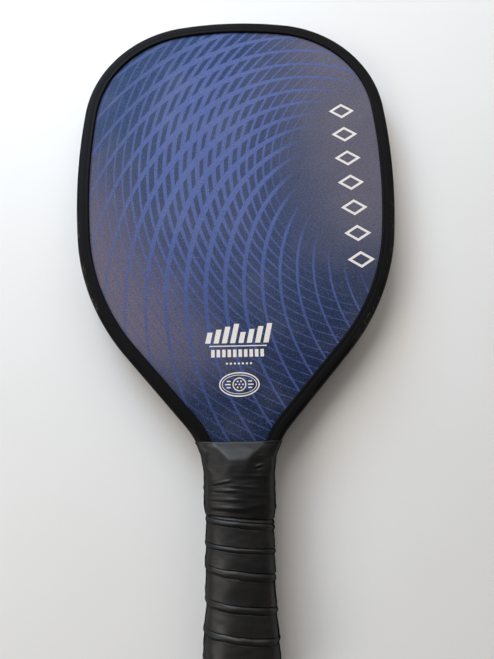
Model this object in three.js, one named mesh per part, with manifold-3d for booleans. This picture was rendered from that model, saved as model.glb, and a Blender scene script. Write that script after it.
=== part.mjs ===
// A pickleball paddle: a honeycomb sandwich panel inside a channel-section edge guard, with a handle built up
// round the panel's tongue from two pallets, a butt cap, a wound grip and a shrunk rubber collar.
//
// Millimetres. The origin is the centre of the butt end, +Y runs up the handle to the top of the head, and +Z
// comes out of the front face.

import * as THREE from 'three';
import { mergeVertices } from 'three/addons/utils/BufferGeometryUtils.js';
import Module from 'manifold-3d';

const wasm = await Module();
wasm.setup();

// ---- Driving dimensions -------------------------------------------------------------------------------------

// The head's outline is the guard's outer edge. It runs from the top as a crown, a shoulder, a flank and a hip,
// each an arc, then a straight taper, then a hollow throat that ends square on the neck.
const HEAD_LENGTH = 280; // top of the head down to the collar's top edge
const HEAD_WIDTH = 200;
const CROWN_RADIUS = 226.6;
const SHOULDER_RADIUS = 74.5;
const FLANK_RADIUS = 412;
const HIP_RADIUS = 135;
const THROAT_RADIUS = 42.4;
const WIDEST_BELOW_TOP = 111.4;
const TAPER_HEADING = THREE.MathUtils.degToRad(131);
const NECK_BELOW_COLLAR_TOP = 19.8;
const NECK_STAND = 2.8; // how far the guard stands out from the tongue's side at the neck
const ARC_TOLERANCE = 0.12; // how far a chord may stand off its arc

// The sandwich panel, from the middle outwards, and the bond line between its layers.
const CORE_THICKNESS = 11.5;
const SCRIM_THICKNESS = 0.1;
const FACE_SHEET_THICKNESS = 0.5;
const FILM_THICKNESS = 0.12;
const BOND_LINE = 0.02;

// The edge guard and the tape that holds it on the panel's rim.
const GUARD_BAND = 7.8; // from the guard's outer edge in to its lip
const GUARD_WEB = 1.8;
const GUARD_LEG = 1.35;
const GUARD_ROUND_IN = 2.2; // the outer corners' rounding, across the face
const GUARD_ROUND_DEEP = 3.6; // and down the side
const GUARD_FIT = 0.05;
const GUARD_END_BELOW_COLLAR_TOP = 9;
const EDGE_TAPE_THICKNESS = 0.4;
const EDGE_TAPE_MARGIN = 1; // from the tape's edge to the panel's face

// The handle's bare section, pallets and tongue together: an octagon with rounded corners.
const HANDLE_LENGTH = 120; // butt end up to the collar's top edge
const HANDLE_WIDTH = 32.8;
const PALLET_HEIGHT = 6.4; // from the tape to the pallet's flat top
const PALLET_FLAT = 8; // straight part of that flat
const PALLET_CORNER_RADIUS = 2.5;
const PALLET_TAPE_THICKNESS = 0.12;
const PALLET_TOP_BELOW_COLLAR_TOP = 3;
const PALLET_RAMP_LENGTH = 10;
const PALLET_TAPE_MARGIN = 0.6;
const NOTCH_CLEARANCE = 0.3; // between a pallet and the guard's ends
const CORNER_STEPS = 3;

// The butt cap: a cup over the end of the handle with a flared lip, and a plain disc set in its end.
const CAP_FIT = 0.15;
const CAP_WALL = 1.2;
const CAP_DEPTH = 20;
const CAP_FLOOR = 1.2;
const CAP_LIP_HEIGHT = 6;
const CAP_LIP_STAND = 0.8; // how far the lip stands out past the grip
const CAP_LIP_ROUND = 1.2;
const DISC_THICKNESS = 1;
const DISC_FIT = 0.1;

// Staples through the cap's wall into the pallets.
const STAPLE_CROWN = 8;
const STAPLE_LEG = 5.5;
const STAPLE_WIRE_THICK = 0.5;
const STAPLE_WIRE_WIDE = 1;
const STAPLE_SPACING = 5;
const STAPLE_FIT = 0.1;
const STAPLE_MIDDLE_Y = 13;

// The grip, from the pallets outwards, and the collar over its top end.
const LAYER_GAP = 0.03;
const GRIP_ADHESIVE_THICKNESS = 0.12;
const GRIP_THICKNESS = 1.8;
const GRIP_FLARE_LENGTH = 9; // over which the grip climbs on to the cap
const GRIP_TOP_BELOW_COLLAR_TOP = 14;
const FINISHING_TAPE_THICKNESS = 0.5;
const FINISHING_TAPE_WIDTH = 20;
const FINISHING_TAPE_BELOW_GRIP_TOP = 1.5;
const COLLAR_LENGTH = 40;
const COLLAR_WALL = 1;
const COLLAR_TOP_WALL = 0.45; // thinned at the top edge
const COLLAR_FIT = 0.1;
const COLLAR_EDGE_GAP = 0.5; // the collar's top edge to the head's nominal foot
const COLLAR_RAMP_STEPS = 4;

// ---- Heights and levels that follow from them ------------------------------------------------------------------

const TOP_Y = HANDLE_LENGTH + HEAD_LENGTH;
const GUARD_END_Y = HANDLE_LENGTH - GUARD_END_BELOW_COLLAR_TOP;
const PALLET_TOP_Y = HANDLE_LENGTH - PALLET_TOP_BELOW_COLLAR_TOP;
const GRIP_TOP_Y = HANDLE_LENGTH - GRIP_TOP_BELOW_COLLAR_TOP;
const COLLAR_TOP_Y = HANDLE_LENGTH - COLLAR_EDGE_GAP;
const COLLAR_BOTTOM_Y = HANDLE_LENGTH - COLLAR_LENGTH;
const CAP_FLOOR_Y = DISC_THICKNESS + DISC_FIT;
const HANDLE_END_Y = CAP_FLOOR_Y + CAP_FLOOR + CAP_FIT;

const CORE_Z = CORE_THICKNESS / 2;
const SCRIM_Z = CORE_Z + BOND_LINE;
const SHEET_Z = SCRIM_Z + SCRIM_THICKNESS + BOND_LINE;
const SKIN_Z = SHEET_Z + FACE_SHEET_THICKNESS + BOND_LINE; // the film on the head, the pallet tape on the tongue
const PANEL_Z = SKIN_Z + FILM_THICKNESS;
const GUARD_Z = PANEL_Z + GUARD_FIT + GUARD_LEG;
const PALLET_Z = SKIN_Z + PALLET_TAPE_THICKNESS + BOND_LINE;
const HANDLE_Z = PALLET_Z + PALLET_HEIGHT;

const EDGE_TAPE_INSET = GUARD_WEB + GUARD_FIT;
const PANEL_INSET = EDGE_TAPE_INSET + EDGE_TAPE_THICKNESS + GUARD_FIT;
const TONGUE_HALF_WIDTH = HANDLE_WIDTH / 2;
const NECK_HALF_WIDTH = TONGUE_HALF_WIDTH + NECK_STAND;

// How far each layer of the handle reaches out from the section's corner centres.
const BARE_REACH = PALLET_CORNER_RADIUS;
const ADHESIVE_REACH = BARE_REACH + LAYER_GAP;
const GRIP_REACH = ADHESIVE_REACH + GRIP_ADHESIVE_THICKNESS + LAYER_GAP;
const GRIP_OUTER_REACH = GRIP_REACH + GRIP_THICKNESS;
const TAPE_REACH = GRIP_OUTER_REACH + LAYER_GAP;
const COLLAR_REACH = TAPE_REACH + FINISHING_TAPE_THICKNESS + COLLAR_FIT;
const CAP_REACH = BARE_REACH + CAP_FIT;
const CAP_OUTER_REACH = CAP_REACH + CAP_WALL;
const GRIP_ON_CAP_REACH = CAP_OUTER_REACH + LAYER_GAP;
const LIP_REACH = GRIP_ON_CAP_REACH + GRIP_THICKNESS + CAP_LIP_STAND;

// ---- Solids ----------------------------------------------------------------------------------------------------

function solid(geometry) {
  const bare = geometry.clone();
  bare.deleteAttribute('normal');
  bare.deleteAttribute('uv');
  const merged = mergeVertices(bare, 1e-4);
  const vertProperties = merged.attributes.position.array;
  const triVerts = new Uint32Array(merged.index.array);
  return new wasm.Manifold(new wasm.Mesh({ numProp: 3, vertProperties, triVerts }));
}

function geometryOf(made) {
  const { vertProperties, triVerts } = made.getMesh();
  const indexed = new THREE.BufferGeometry();
  indexed.setAttribute('position', new THREE.BufferAttribute(new Float32Array(vertProperties), 3));
  indexed.setIndex(new THREE.BufferAttribute(new Uint32Array(triVerts), 1));
  const geometry = indexed.toNonIndexed();
  geometry.computeVertexNormals();
  return geometry;
}

// A box between two corners.
function block(from, to) {
  const size = to.map((value, axis) => value - from[axis]);
  const middle = to.map((value, axis) => (value + from[axis]) / 2);
  return new THREE.BoxGeometry(...size).translate(...middle);
}

// A flat plate with its outline in X and Y, between two levels of Z.
function plate(points, fromZ, toZ) {
  const shape = new THREE.Shape(points);
  const options = { depth: toZ - fromZ, bevelEnabled: false };
  return new THREE.ExtrudeGeometry(shape, options).translate(0, 0, fromZ);
}

// A bar along Y with its section in X and Z, between two heights.
function bar(points, fromY, toY) {
  const shape = new THREE.Shape(points);
  const options = { depth: toY - fromY, bevelEnabled: false };
  return new THREE.ExtrudeGeometry(shape, options).rotateX(Math.PI / 2).translate(0, toY, 0);
}

// A bar along X with its section in Y and Z, centred on a place across.
function crossbar(points, middleX, width) {
  const shape = new THREE.Shape(points.map(([y, z]) => new THREE.Vector2(z, y)));
  const options = { depth: width, bevelEnabled: false };
  const geometry = new THREE.ExtrudeGeometry(shape, options);
  return geometry.rotateY(-Math.PI / 2).translate(middleX + width / 2, 0, 0);
}

// The half of the space above a height, as a block that holds the whole paddle's head.
function above(y) {
  const far = TOP_Y + HEAD_WIDTH;
  return solid(block([-far, y, -far], [far, far, far]));
}

// ---- The head's outline ----------------------------------------------------------------------------------------

// A heading turns clockwise from +X at the top of the head, so the outward normal is (sin, cos).
function normalAt(heading) {
  return new THREE.Vector2(Math.sin(heading), Math.cos(heading));
}

function headingFrom(centre, to) {
  return Math.atan2(to.x - centre.x, to.y - centre.y);
}

// The crossing of two circles that lies to the right of the way from the first centre to the second.
function circlesCross(first, firstRadius, second, secondRadius) {
  const apart = first.distanceTo(second);
  const along = (firstRadius ** 2 - secondRadius ** 2 + apart ** 2) / (2 * apart);
  const across = Math.sqrt(firstRadius ** 2 - along ** 2);
  const way = second.clone().sub(first).divideScalar(apart);
  const right = new THREE.Vector2(way.y, -way.x);
  return first.clone().addScaledVector(way, along).addScaledVector(right, across);
}

// The outline's right-hand arcs from the top down. Each touches the next, and the taper is the straight line
// between the hip and the throat.
function outlineArcs() {
  const crown = new THREE.Vector2(0, TOP_Y - CROWN_RADIUS);
  const flank = new THREE.Vector2(HEAD_WIDTH / 2 - FLANK_RADIUS, TOP_Y - WIDEST_BELOW_TOP);
  const shoulder = circlesCross(
    crown, CROWN_RADIUS - SHOULDER_RADIUS, flank, FLANK_RADIUS - SHOULDER_RADIUS);

  const neckY = HANDLE_LENGTH - NECK_BELOW_COLLAR_TOP;
  const throat = new THREE.Vector2(NECK_HALF_WIDTH + THROAT_RADIUS, neckY);
  const taperNormal = normalAt(TAPER_HEADING);
  const taperOffset = throat.dot(taperNormal) - THROAT_RADIUS;
  const hipOut = taperOffset - HIP_RADIUS - flank.dot(taperNormal);
  const hipBack = Math.sqrt((FLANK_RADIUS - HIP_RADIUS) ** 2 - hipOut ** 2);
  const taperWay = normalAt(TAPER_HEADING + Math.PI / 2);
  const hip = flank.clone().addScaledVector(taperNormal, hipOut).addScaledVector(taperWay, -hipBack);

  const crownEnd = headingFrom(crown, shoulder);
  const shoulderEnd = headingFrom(flank, shoulder);
  const flankEnd = headingFrom(flank, hip);
  return [
    { centre: crown, radius: CROWN_RADIUS, from: 0, to: crownEnd },
    { centre: shoulder, radius: SHOULDER_RADIUS, from: crownEnd, to: shoulderEnd },
    { centre: flank, radius: FLANK_RADIUS, from: shoulderEnd, to: flankEnd },
    { centre: hip, radius: HIP_RADIUS, from: flankEnd, to: TAPER_HEADING },
    { centre: throat, radius: -THROAT_RADIUS, from: TAPER_HEADING, to: Math.PI / 2 },
  ];
}

const ARCS = outlineArcs();

// The outline moved inwards by an inset, as a closed list of points. A hollow arc has a negative radius.
function outline(inset) {
  const right = [];
  for (const { centre, radius, from, to } of ARCS) {
    const chordAngle = 2 * Math.acos(1 - ARC_TOLERANCE / Math.abs(radius));
    const steps = Math.ceil(Math.abs(to - from) / chordAngle);
    for (let step = right.length ? 1 : 0; step <= steps; step++) {
      const heading = from + (to - from) * step / steps;
      right.push(centre.clone().addScaledVector(normalAt(heading), radius - inset));
    }
    if (radius === HIP_RADIUS) right.push(taperEnd(inset));
  }
  const left = right.slice(1).reverse().map(({ x, y }) => new THREE.Vector2(-x, y));
  return [...right, ...left];
}

// Where the taper meets the throat.
function taperEnd(inset) {
  const { centre, radius } = ARCS.at(-1);
  return centre.clone().addScaledVector(normalAt(TAPER_HEADING), radius - inset);
}

// The outline's half width at a height on the neck, the throat or the taper. The throat's chords stand out past
// its arc, by the tolerance at most.
function throatHalfWidth(y) {
  const { centre, radius } = ARCS.at(-1);
  const end = taperEnd(0);
  if (y < centre.y) return NECK_HALF_WIDTH;
  if (y > end.y) return end.x - (y - end.y) / Math.tan(TAPER_HEADING);
  return centre.x - Math.sqrt(radius ** 2 - (y - centre.y) ** 2) + ARC_TOLERANCE;
}

// ---- The panel -------------------------------------------------------------------------------------------------

// One layer of the panel, head and tongue together, between two levels of Z.
function panelLayer(fromZ, toZ) {
  const head = solid(plate(outline(PANEL_INSET), fromZ, toZ)).intersect(above(GUARD_END_Y));
  const tongueFrom = [-TONGUE_HALF_WIDTH, HANDLE_END_Y, fromZ];
  const tongueTo = [TONGUE_HALF_WIDTH, HANDLE_LENGTH, toZ];
  return geometryOf(head.add(solid(block(tongueFrom, tongueTo))));
}

// A film covers the head only, down to the pallets.
function graphicFilm() {
  const sheet = solid(plate(outline(PANEL_INSET), SKIN_Z, PANEL_Z));
  return geometryOf(sheet.intersect(above(PALLET_TOP_Y + NOTCH_CLEARANCE)));
}

// ---- The edge guard --------------------------------------------------------------------------------------------

// A plate with its outer edges rounded, hollowed for the panel, open on both faces inside its lips.
function edgeGuard() {
  const options = {
    depth: 2 * (GUARD_Z - GUARD_ROUND_DEEP),
    bevelThickness: GUARD_ROUND_DEEP,
    bevelSize: GUARD_ROUND_IN,
    bevelOffset: -GUARD_ROUND_IN,
    bevelSegments: 3,
  };
  const rounded = new THREE.ExtrudeGeometry(new THREE.Shape(outline(0)), options);
  const slotZ = PANEL_Z + GUARD_FIT;
  const slot = plate(outline(GUARD_WEB), -slotZ, slotZ);
  const window = plate(outline(GUARD_BAND), -2 * GUARD_Z, 2 * GUARD_Z);
  const notchHalfWidth = TONGUE_HALF_WIDTH + NOTCH_CLEARANCE;
  const notchFrom = [-notchHalfWidth, 0, -2 * GUARD_Z];
  const notchTo = [notchHalfWidth, PALLET_TOP_Y + NOTCH_CLEARANCE, 2 * GUARD_Z];
  const guard = solid(rounded.translate(0, 0, GUARD_ROUND_DEEP - GUARD_Z))
    .subtract(solid(slot))
    .subtract(solid(window))
    .subtract(solid(block(notchFrom, notchTo)))
    .intersect(above(GUARD_END_Y));
  return geometryOf(guard);
}

function edgeGuardTape() {
  const halfWidth = PANEL_Z - EDGE_TAPE_MARGIN;
  const outer = plate(outline(EDGE_TAPE_INSET), -halfWidth, halfWidth);
  const inner = plate(outline(EDGE_TAPE_INSET + EDGE_TAPE_THICKNESS), -2 * halfWidth, 2 * halfWidth);
  return geometryOf(solid(outer).subtract(solid(inner)).intersect(above(GUARD_END_Y)));
}

// ---- Sections of the handle ------------------------------------------------------------------------------------

// A section is an octagon with rounded corners, held as its corner centres in one quarter, one at the side and
// one at the top, and grown all round by a reach.
const HANDLE_SECTION = {
  sideX: TONGUE_HALF_WIDTH - PALLET_CORNER_RADIUS,
  sideZ: PALLET_Z,
  topX: PALLET_FLAT / 2,
  topZ: HANDLE_Z - PALLET_CORNER_RADIUS,
};

// One quarter of a section, from the side round to the top.
function quarter({ sideX, sideZ, topX, topZ }, reach) {
  const bevelAngle = Math.atan2(sideX - topX, topZ - sideZ);
  const corners = [
    { x: sideX, z: sideZ, from: 0, to: bevelAngle },
    { x: topX, z: topZ, from: bevelAngle, to: Math.PI / 2 },
  ];
  const points = [];
  for (const { x, z, from, to } of corners) {
    for (let step = 0; step <= CORNER_STEPS; step++) {
      const angle = from + (to - from) * step / CORNER_STEPS;
      points.push(new THREE.Vector2(x + reach * Math.cos(angle), z + reach * Math.sin(angle)));
    }
  }
  return points;
}

// The whole section, from +X round by -Z.
function sectionPoints(section, reach) {
  const first = quarter(section, reach);
  const turned = first.slice().reverse();
  return [
    ...first.map(({ x, y }) => new THREE.Vector2(x, -y)),
    ...turned.map(({ x, y }) => new THREE.Vector2(-x, -y)),
    ...first.map(({ x, y }) => new THREE.Vector2(-x, y)),
    ...turned.map(({ x, y }) => new THREE.Vector2(x, y)),
  ];
}

// A tube whose wall follows the section at each height. Its profile is a closed loop of stations, up the
// outside and down the inside, each with a height, a section and a reach.
function sleeve(stations) {
  const loop = [...stations, stations[0]];
  const rings = loop.map(({ section, reach }) => sectionPoints(section, reach));
  const segments = rings[0].length;
  const profile = loop.map(({ y, reach }) => new THREE.Vector2(reach, y));
  const geometry = new THREE.LatheGeometry(profile, segments);
  const positions = geometry.attributes.position;
  for (let index = 0; index < positions.count; index++) {
    const turn = Math.floor(index / loop.length) % segments;
    const station = index % loop.length;
    const place = rings[station][turn];
    positions.setXYZ(index, place.x, loop[station].y, place.y);
  }
  geometry.deleteAttribute('normal');
  geometry.deleteAttribute('uv');
  return geometryOf(solid(geometry));
}

// Stations that all have the handle's own section.
function onHandle(stations) {
  return stations.map(([y, reach]) => ({ y, reach, section: HANDLE_SECTION }));
}

// ---- The handle ------------------------------------------------------------------------------------------------

// A pallet on the front: the section above the tape, with a ramp down to the panel at its top end.
function frontPallet() {
  const section = bar(sectionPoints(HANDLE_SECTION, BARE_REACH), HANDLE_END_Y, PALLET_TOP_Y);
  const sideView = [
    [HANDLE_END_Y, PALLET_Z],
    [PALLET_TOP_Y, PALLET_Z],
    [PALLET_TOP_Y - PALLET_RAMP_LENGTH, HANDLE_Z],
    [HANDLE_END_Y, HANDLE_Z],
  ];
  const ramp = crossbar(sideView, 0, 2 * HANDLE_WIDTH);
  return solid(section).intersect(solid(ramp)).subtract(staplePockets());
}

function frontPalletTape() {
  const halfWidth = TONGUE_HALF_WIDTH - PALLET_TAPE_MARGIN;
  const from = [-halfWidth, HANDLE_END_Y + PALLET_TAPE_MARGIN, SKIN_Z];
  const to = [halfWidth, PALLET_TOP_Y - PALLET_TAPE_MARGIN, SKIN_Z + PALLET_TAPE_THICKNESS];
  return block(from, to);
}

// A staple from the side: a crown let into the cap's wall and two legs down into the pallet.
function stapleShape(grow) {
  const outerZ = HANDLE_SECTION.topZ + CAP_OUTER_REACH + grow;
  const innerZ = outerZ - STAPLE_WIRE_THICK - 2 * grow;
  const legZ = outerZ - STAPLE_LEG - 2 * grow;
  const halfCrown = STAPLE_CROWN / 2 + grow;
  const halfInside = STAPLE_CROWN / 2 - STAPLE_WIRE_THICK - grow;
  const outerHalf = [
    [halfInside, innerZ],
    [halfInside, legZ],
    [halfCrown, legZ],
    [halfCrown, outerZ],
  ];
  const mirrored = outerHalf.slice().reverse().map(([y, z]) => [-y, z]);
  return [...outerHalf, ...mirrored].map(([y, z]) => [STAPLE_MIDDLE_Y + y, z]);
}

function staple(side) {
  return crossbar(stapleShape(0), side * STAPLE_SPACING / 2, STAPLE_WIRE_WIDE);
}

function staplePockets() {
  const width = STAPLE_WIRE_WIDE + 2 * STAPLE_FIT;
  const [left, right] = [-1, 1].map((side) =>
    solid(crossbar(stapleShape(STAPLE_FIT), side * STAPLE_SPACING / 2, width)));
  return left.add(right);
}

// Turned half round about Y, which takes the front of the handle to the back.
function toBack(geometry) {
  return geometry.clone().rotateY(Math.PI);
}

function buttCap() {
  const cup = sleeve(onHandle([
    [0, LIP_REACH - CAP_LIP_ROUND],
    [CAP_LIP_ROUND / 3, LIP_REACH - CAP_LIP_ROUND / 3],
    [CAP_LIP_ROUND, LIP_REACH],
    [CAP_LIP_HEIGHT - CAP_LIP_ROUND, LIP_REACH],
    [CAP_LIP_HEIGHT, LIP_REACH - CAP_LIP_ROUND / 2],
    [CAP_LIP_HEIGHT, CAP_OUTER_REACH],
    [CAP_DEPTH, CAP_OUTER_REACH],
    [CAP_DEPTH, CAP_REACH],
    [0, CAP_REACH],
  ]));
  const middleOfWall = (CAP_REACH + CAP_OUTER_REACH) / 2;
  const floorSection = sectionPoints(HANDLE_SECTION, middleOfWall);
  const floor = bar(floorSection, CAP_FLOOR_Y, CAP_FLOOR_Y + CAP_FLOOR);
  const pockets = geometryOf(staplePockets());
  return geometryOf(
    solid(cup).add(solid(floor)).subtract(solid(pockets)).subtract(solid(toBack(pockets))));
}

function buttEndDisc() {
  return bar(sectionPoints(HANDLE_SECTION, CAP_REACH - DISC_FIT), 0, DISC_THICKNESS);
}

function gripAdhesive() {
  const bottomY = CAP_DEPTH + LAYER_GAP;
  const topY = GRIP_TOP_Y - FINISHING_TAPE_BELOW_GRIP_TOP;
  const outer = ADHESIVE_REACH + GRIP_ADHESIVE_THICKNESS;
  return sleeve(onHandle([
    [bottomY, outer],
    [topY, outer],
    [topY, ADHESIVE_REACH],
    [bottomY, ADHESIVE_REACH],
  ]));
}

// The wound grip as a plain sleeve, which climbs on to the cap at its lower end.
function gripWrap() {
  const bottomY = CAP_LIP_HEIGHT + LAYER_GAP;
  const stepY = CAP_DEPTH + LAYER_GAP;
  return sleeve(onHandle([
    [bottomY, GRIP_ON_CAP_REACH + GRIP_THICKNESS],
    [stepY, GRIP_ON_CAP_REACH + GRIP_THICKNESS],
    [stepY + GRIP_FLARE_LENGTH, GRIP_OUTER_REACH],
    [GRIP_TOP_Y, GRIP_OUTER_REACH],
    [GRIP_TOP_Y, GRIP_REACH],
    [stepY, GRIP_REACH],
    [stepY, GRIP_ON_CAP_REACH],
    [bottomY, GRIP_ON_CAP_REACH],
  ]));
}

function finishingTape() {
  const topY = GRIP_TOP_Y - FINISHING_TAPE_BELOW_GRIP_TOP;
  const bottomY = topY - FINISHING_TAPE_WIDTH;
  const outer = TAPE_REACH + FINISHING_TAPE_THICKNESS;
  return sleeve(onHandle([
    [bottomY, outer],
    [topY, outer],
    [topY, TAPE_REACH],
    [bottomY, TAPE_REACH],
  ]));
}

// ---- The collar ------------------------------------------------------------------------------------------------

// The guard's section at a height, as a low octagon drawn loosely round its sides, faces and rounded corners.
function throatSection(y) {
  const halfWidth = throatHalfWidth(y);
  return {
    sideX: halfWidth,
    sideZ: GUARD_Z - GUARD_ROUND_DEEP / 3,
    topX: halfWidth - GUARD_ROUND_IN / 2,
    topZ: GUARD_Z,
  };
}

function blend(low, high, share) {
  const mixed = {};
  for (const key of Object.keys(low)) mixed[key] = THREE.MathUtils.lerp(low[key], high[key], share);
  return mixed;
}

// The collar's inside at a height on the ramp: from the grip's section to the guard's, and never inside the guard.
function rampStation(y) {
  const share = (y - GRIP_TOP_Y) / (PALLET_TOP_Y - GRIP_TOP_Y);
  const section = blend(HANDLE_SECTION, throatSection(y), share);
  const reach = THREE.MathUtils.lerp(COLLAR_REACH, COLLAR_FIT, share);
  if (y >= GUARD_END_Y) section.sideX = Math.max(section.sideX, throatHalfWidth(y) + COLLAR_FIT - reach);
  return { y, section, reach, wall: COLLAR_WALL };
}

// The collar grips the grip's end, goes down the pallets' ramps and spreads over the guard's ends.
function throatCollar() {
  const inside = [
    { y: COLLAR_BOTTOM_Y, section: HANDLE_SECTION, reach: COLLAR_REACH, wall: COLLAR_WALL },
    rampStation(GRIP_TOP_Y),
    rampStation((GRIP_TOP_Y + GUARD_END_Y) / 2),
  ];
  for (let step = 0; step <= COLLAR_RAMP_STEPS; step++) {
    inside.push(rampStation(THREE.MathUtils.lerp(GUARD_END_Y, PALLET_TOP_Y, step / COLLAR_RAMP_STEPS)));
  }
  inside.push({
    y: COLLAR_TOP_Y,
    section: throatSection(COLLAR_TOP_Y),
    reach: COLLAR_FIT,
    wall: COLLAR_TOP_WALL,
  });
  const outside = inside.map((station) => ({ ...station, reach: station.reach + station.wall }));
  return sleeve([...outside, ...inside.reverse()]);
}

// ---- The paddle ------------------------------------------------------------------------------------------------

const COLOURS = {
  honeycomb: { color: 0xc9b58a, roughness: 0.9, metalness: 0 },
  scrim: { color: 0xdedbd0, roughness: 0.95, metalness: 0 },
  composite: { color: 0x2a2d30, roughness: 0.5, metalness: 0 },
  printedFilm: { color: 0x4c5878, roughness: 0.55, metalness: 0 },
  guardRubber: { color: 0x161514, roughness: 0.4, metalness: 0 },
  tape: { color: 0xe6e2d2, roughness: 0.8, metalness: 0 },
  pallet: { color: 0x3c3c3e, roughness: 0.7, metalness: 0 },
  cap: { color: 0x141416, roughness: 0.45, metalness: 0 },
  steel: { color: 0xb4b6ba, roughness: 0.35, metalness: 1 },
  grip: { color: 0x25262a, roughness: 0.6, metalness: 0 },
  blackTape: { color: 0x1b1b1d, roughness: 0.55, metalness: 0 },
  collarRubber: { color: 0x101012, roughness: 0.5, metalness: 0 },
};

const paddle = new THREE.Group();
paddle.name = 'pickleball_paddle';

function addPiece(name, geometry, look) {
  const piece = new THREE.Mesh(geometry, new THREE.MeshStandardMaterial(COLOURS[look]));
  piece.name = name;
  paddle.add(piece);
}

// A piece on the front and its twin on the back.
function addPair(name, geometry, look) {
  addPiece('front_' + name, geometry, look);
  addPiece('back_' + name, toBack(geometry), look);
}

addPiece('core_panel', panelLayer(-CORE_Z, CORE_Z), 'honeycomb');
addPair('core_scrim', panelLayer(SCRIM_Z, SCRIM_Z + SCRIM_THICKNESS), 'scrim');
addPair('face_sheet', panelLayer(SHEET_Z, SHEET_Z + FACE_SHEET_THICKNESS), 'composite');
addPair('graphic_film', graphicFilm(), 'printedFilm');
addPiece('edge_guard', edgeGuard(), 'guardRubber');
addPiece('edge_guard_tape', edgeGuardTape(), 'tape');
addPair('handle_pallet', geometryOf(frontPallet()), 'pallet');
addPair('pallet_tape', frontPalletTape(), 'tape');
addPiece('butt_cap', buttCap(), 'cap');
addPiece('butt_end_disc', buttEndDisc(), 'cap');
addPair('staple_left', staple(-1), 'steel');
addPair('staple_right', staple(1), 'steel');
addPiece('grip_adhesive', gripAdhesive(), 'tape');
addPiece('grip_wrap', gripWrap(), 'grip');
addPiece('grip_finishing_tape', finishingTape(), 'blackTape');
addPiece('throat_collar', throatCollar(), 'collarRubber');

export default paddle;
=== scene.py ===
"""A pickleball paddle on a pale table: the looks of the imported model.

Lengths are millimetres until a mesh is made, which turns them into metres. The frame is the CAD model's: the
origin is the centre of the butt end, +Y runs up to the top of the head and +Z comes out of the front face.
"""

import math
from functools import partialmethod

import bmesh
import bpy
import numpy as np
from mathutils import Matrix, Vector, noise


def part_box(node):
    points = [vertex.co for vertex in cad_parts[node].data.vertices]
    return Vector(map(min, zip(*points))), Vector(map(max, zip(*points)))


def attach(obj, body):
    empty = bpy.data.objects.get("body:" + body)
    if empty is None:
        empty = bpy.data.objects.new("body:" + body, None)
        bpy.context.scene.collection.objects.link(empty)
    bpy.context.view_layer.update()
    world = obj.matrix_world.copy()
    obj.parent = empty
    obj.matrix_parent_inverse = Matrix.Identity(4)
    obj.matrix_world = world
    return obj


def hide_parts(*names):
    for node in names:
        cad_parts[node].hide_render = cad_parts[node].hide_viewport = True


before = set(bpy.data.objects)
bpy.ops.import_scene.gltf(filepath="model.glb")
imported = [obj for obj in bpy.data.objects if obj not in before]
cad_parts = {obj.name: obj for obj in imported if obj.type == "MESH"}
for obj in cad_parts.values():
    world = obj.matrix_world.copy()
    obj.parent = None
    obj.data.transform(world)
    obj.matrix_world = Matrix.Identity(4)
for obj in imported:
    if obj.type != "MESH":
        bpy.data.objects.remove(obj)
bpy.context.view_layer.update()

MM = 0.001


def box_mm(node):
    """Lowest and highest corner of a CAD node, in millimetres."""
    low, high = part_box(node)
    return np.array(low) / MM, np.array(high) / MM


# ---- Sizes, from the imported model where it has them 

GUARD_LOW, GUARD_HIGH = box_mm("edge_guard")
FILM_HIGH = box_mm("front_graphic_film")[1]
PALLET_LOW, PALLET_HIGH = box_mm("front_handle_pallet")
COLLAR_LOW, COLLAR_HIGH = box_mm("throat_collar")
GRIP_LOW, GRIP_HIGH = box_mm("grip_wrap")
TAPE_LOW, TAPE_HIGH = box_mm("grip_finishing_tape")
CAP_HIGH = box_mm("butt_cap")[1]
DISC_HIGH = box_mm("butt_end_disc")[1]

TOP_Y = GUARD_HIGH[1]
HALF_WIDTH = 100.0
HANDLE_LENGTH = 120.0
PANEL_Z = FILM_HIGH[2]
GUARD_Z = GUARD_HIGH[2]
GUARD_END_Y = GUARD_LOW[1]

# The head's outline: its arcs' radii, and where the flank is widest and the throat meets the neck.
CROWN_RADIUS = 226.6
SHOULDER_RADIUS = 74.5
FLANK_RADIUS = 412.0
HIP_RADIUS = 135.0
THROAT_RADIUS = 42.4
WIDEST_Y = TOP_Y - 111.4
TAPER_HEADING = math.radians(131)
NECK_HALF_WIDTH = 19.2
NECK_Y = HANDLE_LENGTH - 19.8

# How far the collar presses the guard's ends in, and the heights between which it comes to that.
COLLAR_SQUEEZE = 0.9
SQUEEZE_START_Y = COLLAR_HIGH[1] + 1.5
SQUEEZE_FULL_Y = GUARD_END_Y + 2.0

# The edge guard's channel.
GUARD_BAND = 8.2
GUARD_WEB = 1.8
GUARD_FIT = 0.05
GUARD_ROUND_IN = 2.4
GUARD_ROUND_DEEP = 4.0
LIP_GROOVE_INSET = 6.3
LIP_GROOVE_DEPTH = 0.10
LIP_DROP = 0.1
STATION_SPACING = 1.6
GUARD_WAVER = 0.05
PALLET_CLEARANCE = 0.3
# The outer rim's band of wear and painted highlight: none at the first inset from the edge, full at the
# second.
RIM_WEAR_AND_SHEEN_ENDS_INSET = 3.4
RIM_WEAR_AND_SHEEN_FULL_INSET = 0.6

# The butt cap's side wall, which the grip steps over.
CAP_WALL = 1.2

# The handle's section: corner centres of an octagon, grown by a reach.
PALLET_CORNER = 2.5
HANDLE_SIDE = (PALLET_HIGH[0] - PALLET_CORNER, PALLET_LOW[2])
HANDLE_TOP = (4.0, PALLET_HIGH[2] - PALLET_CORNER)
HANDLE_CORNERS = [HANDLE_SIDE, HANDLE_TOP]


def reach_of(high):
    """How far a handle piece reaches out from the corner centres, from its highest corner."""
    return high[0] - HANDLE_SIDE[0]


# ---- Mesh building ----

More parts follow.
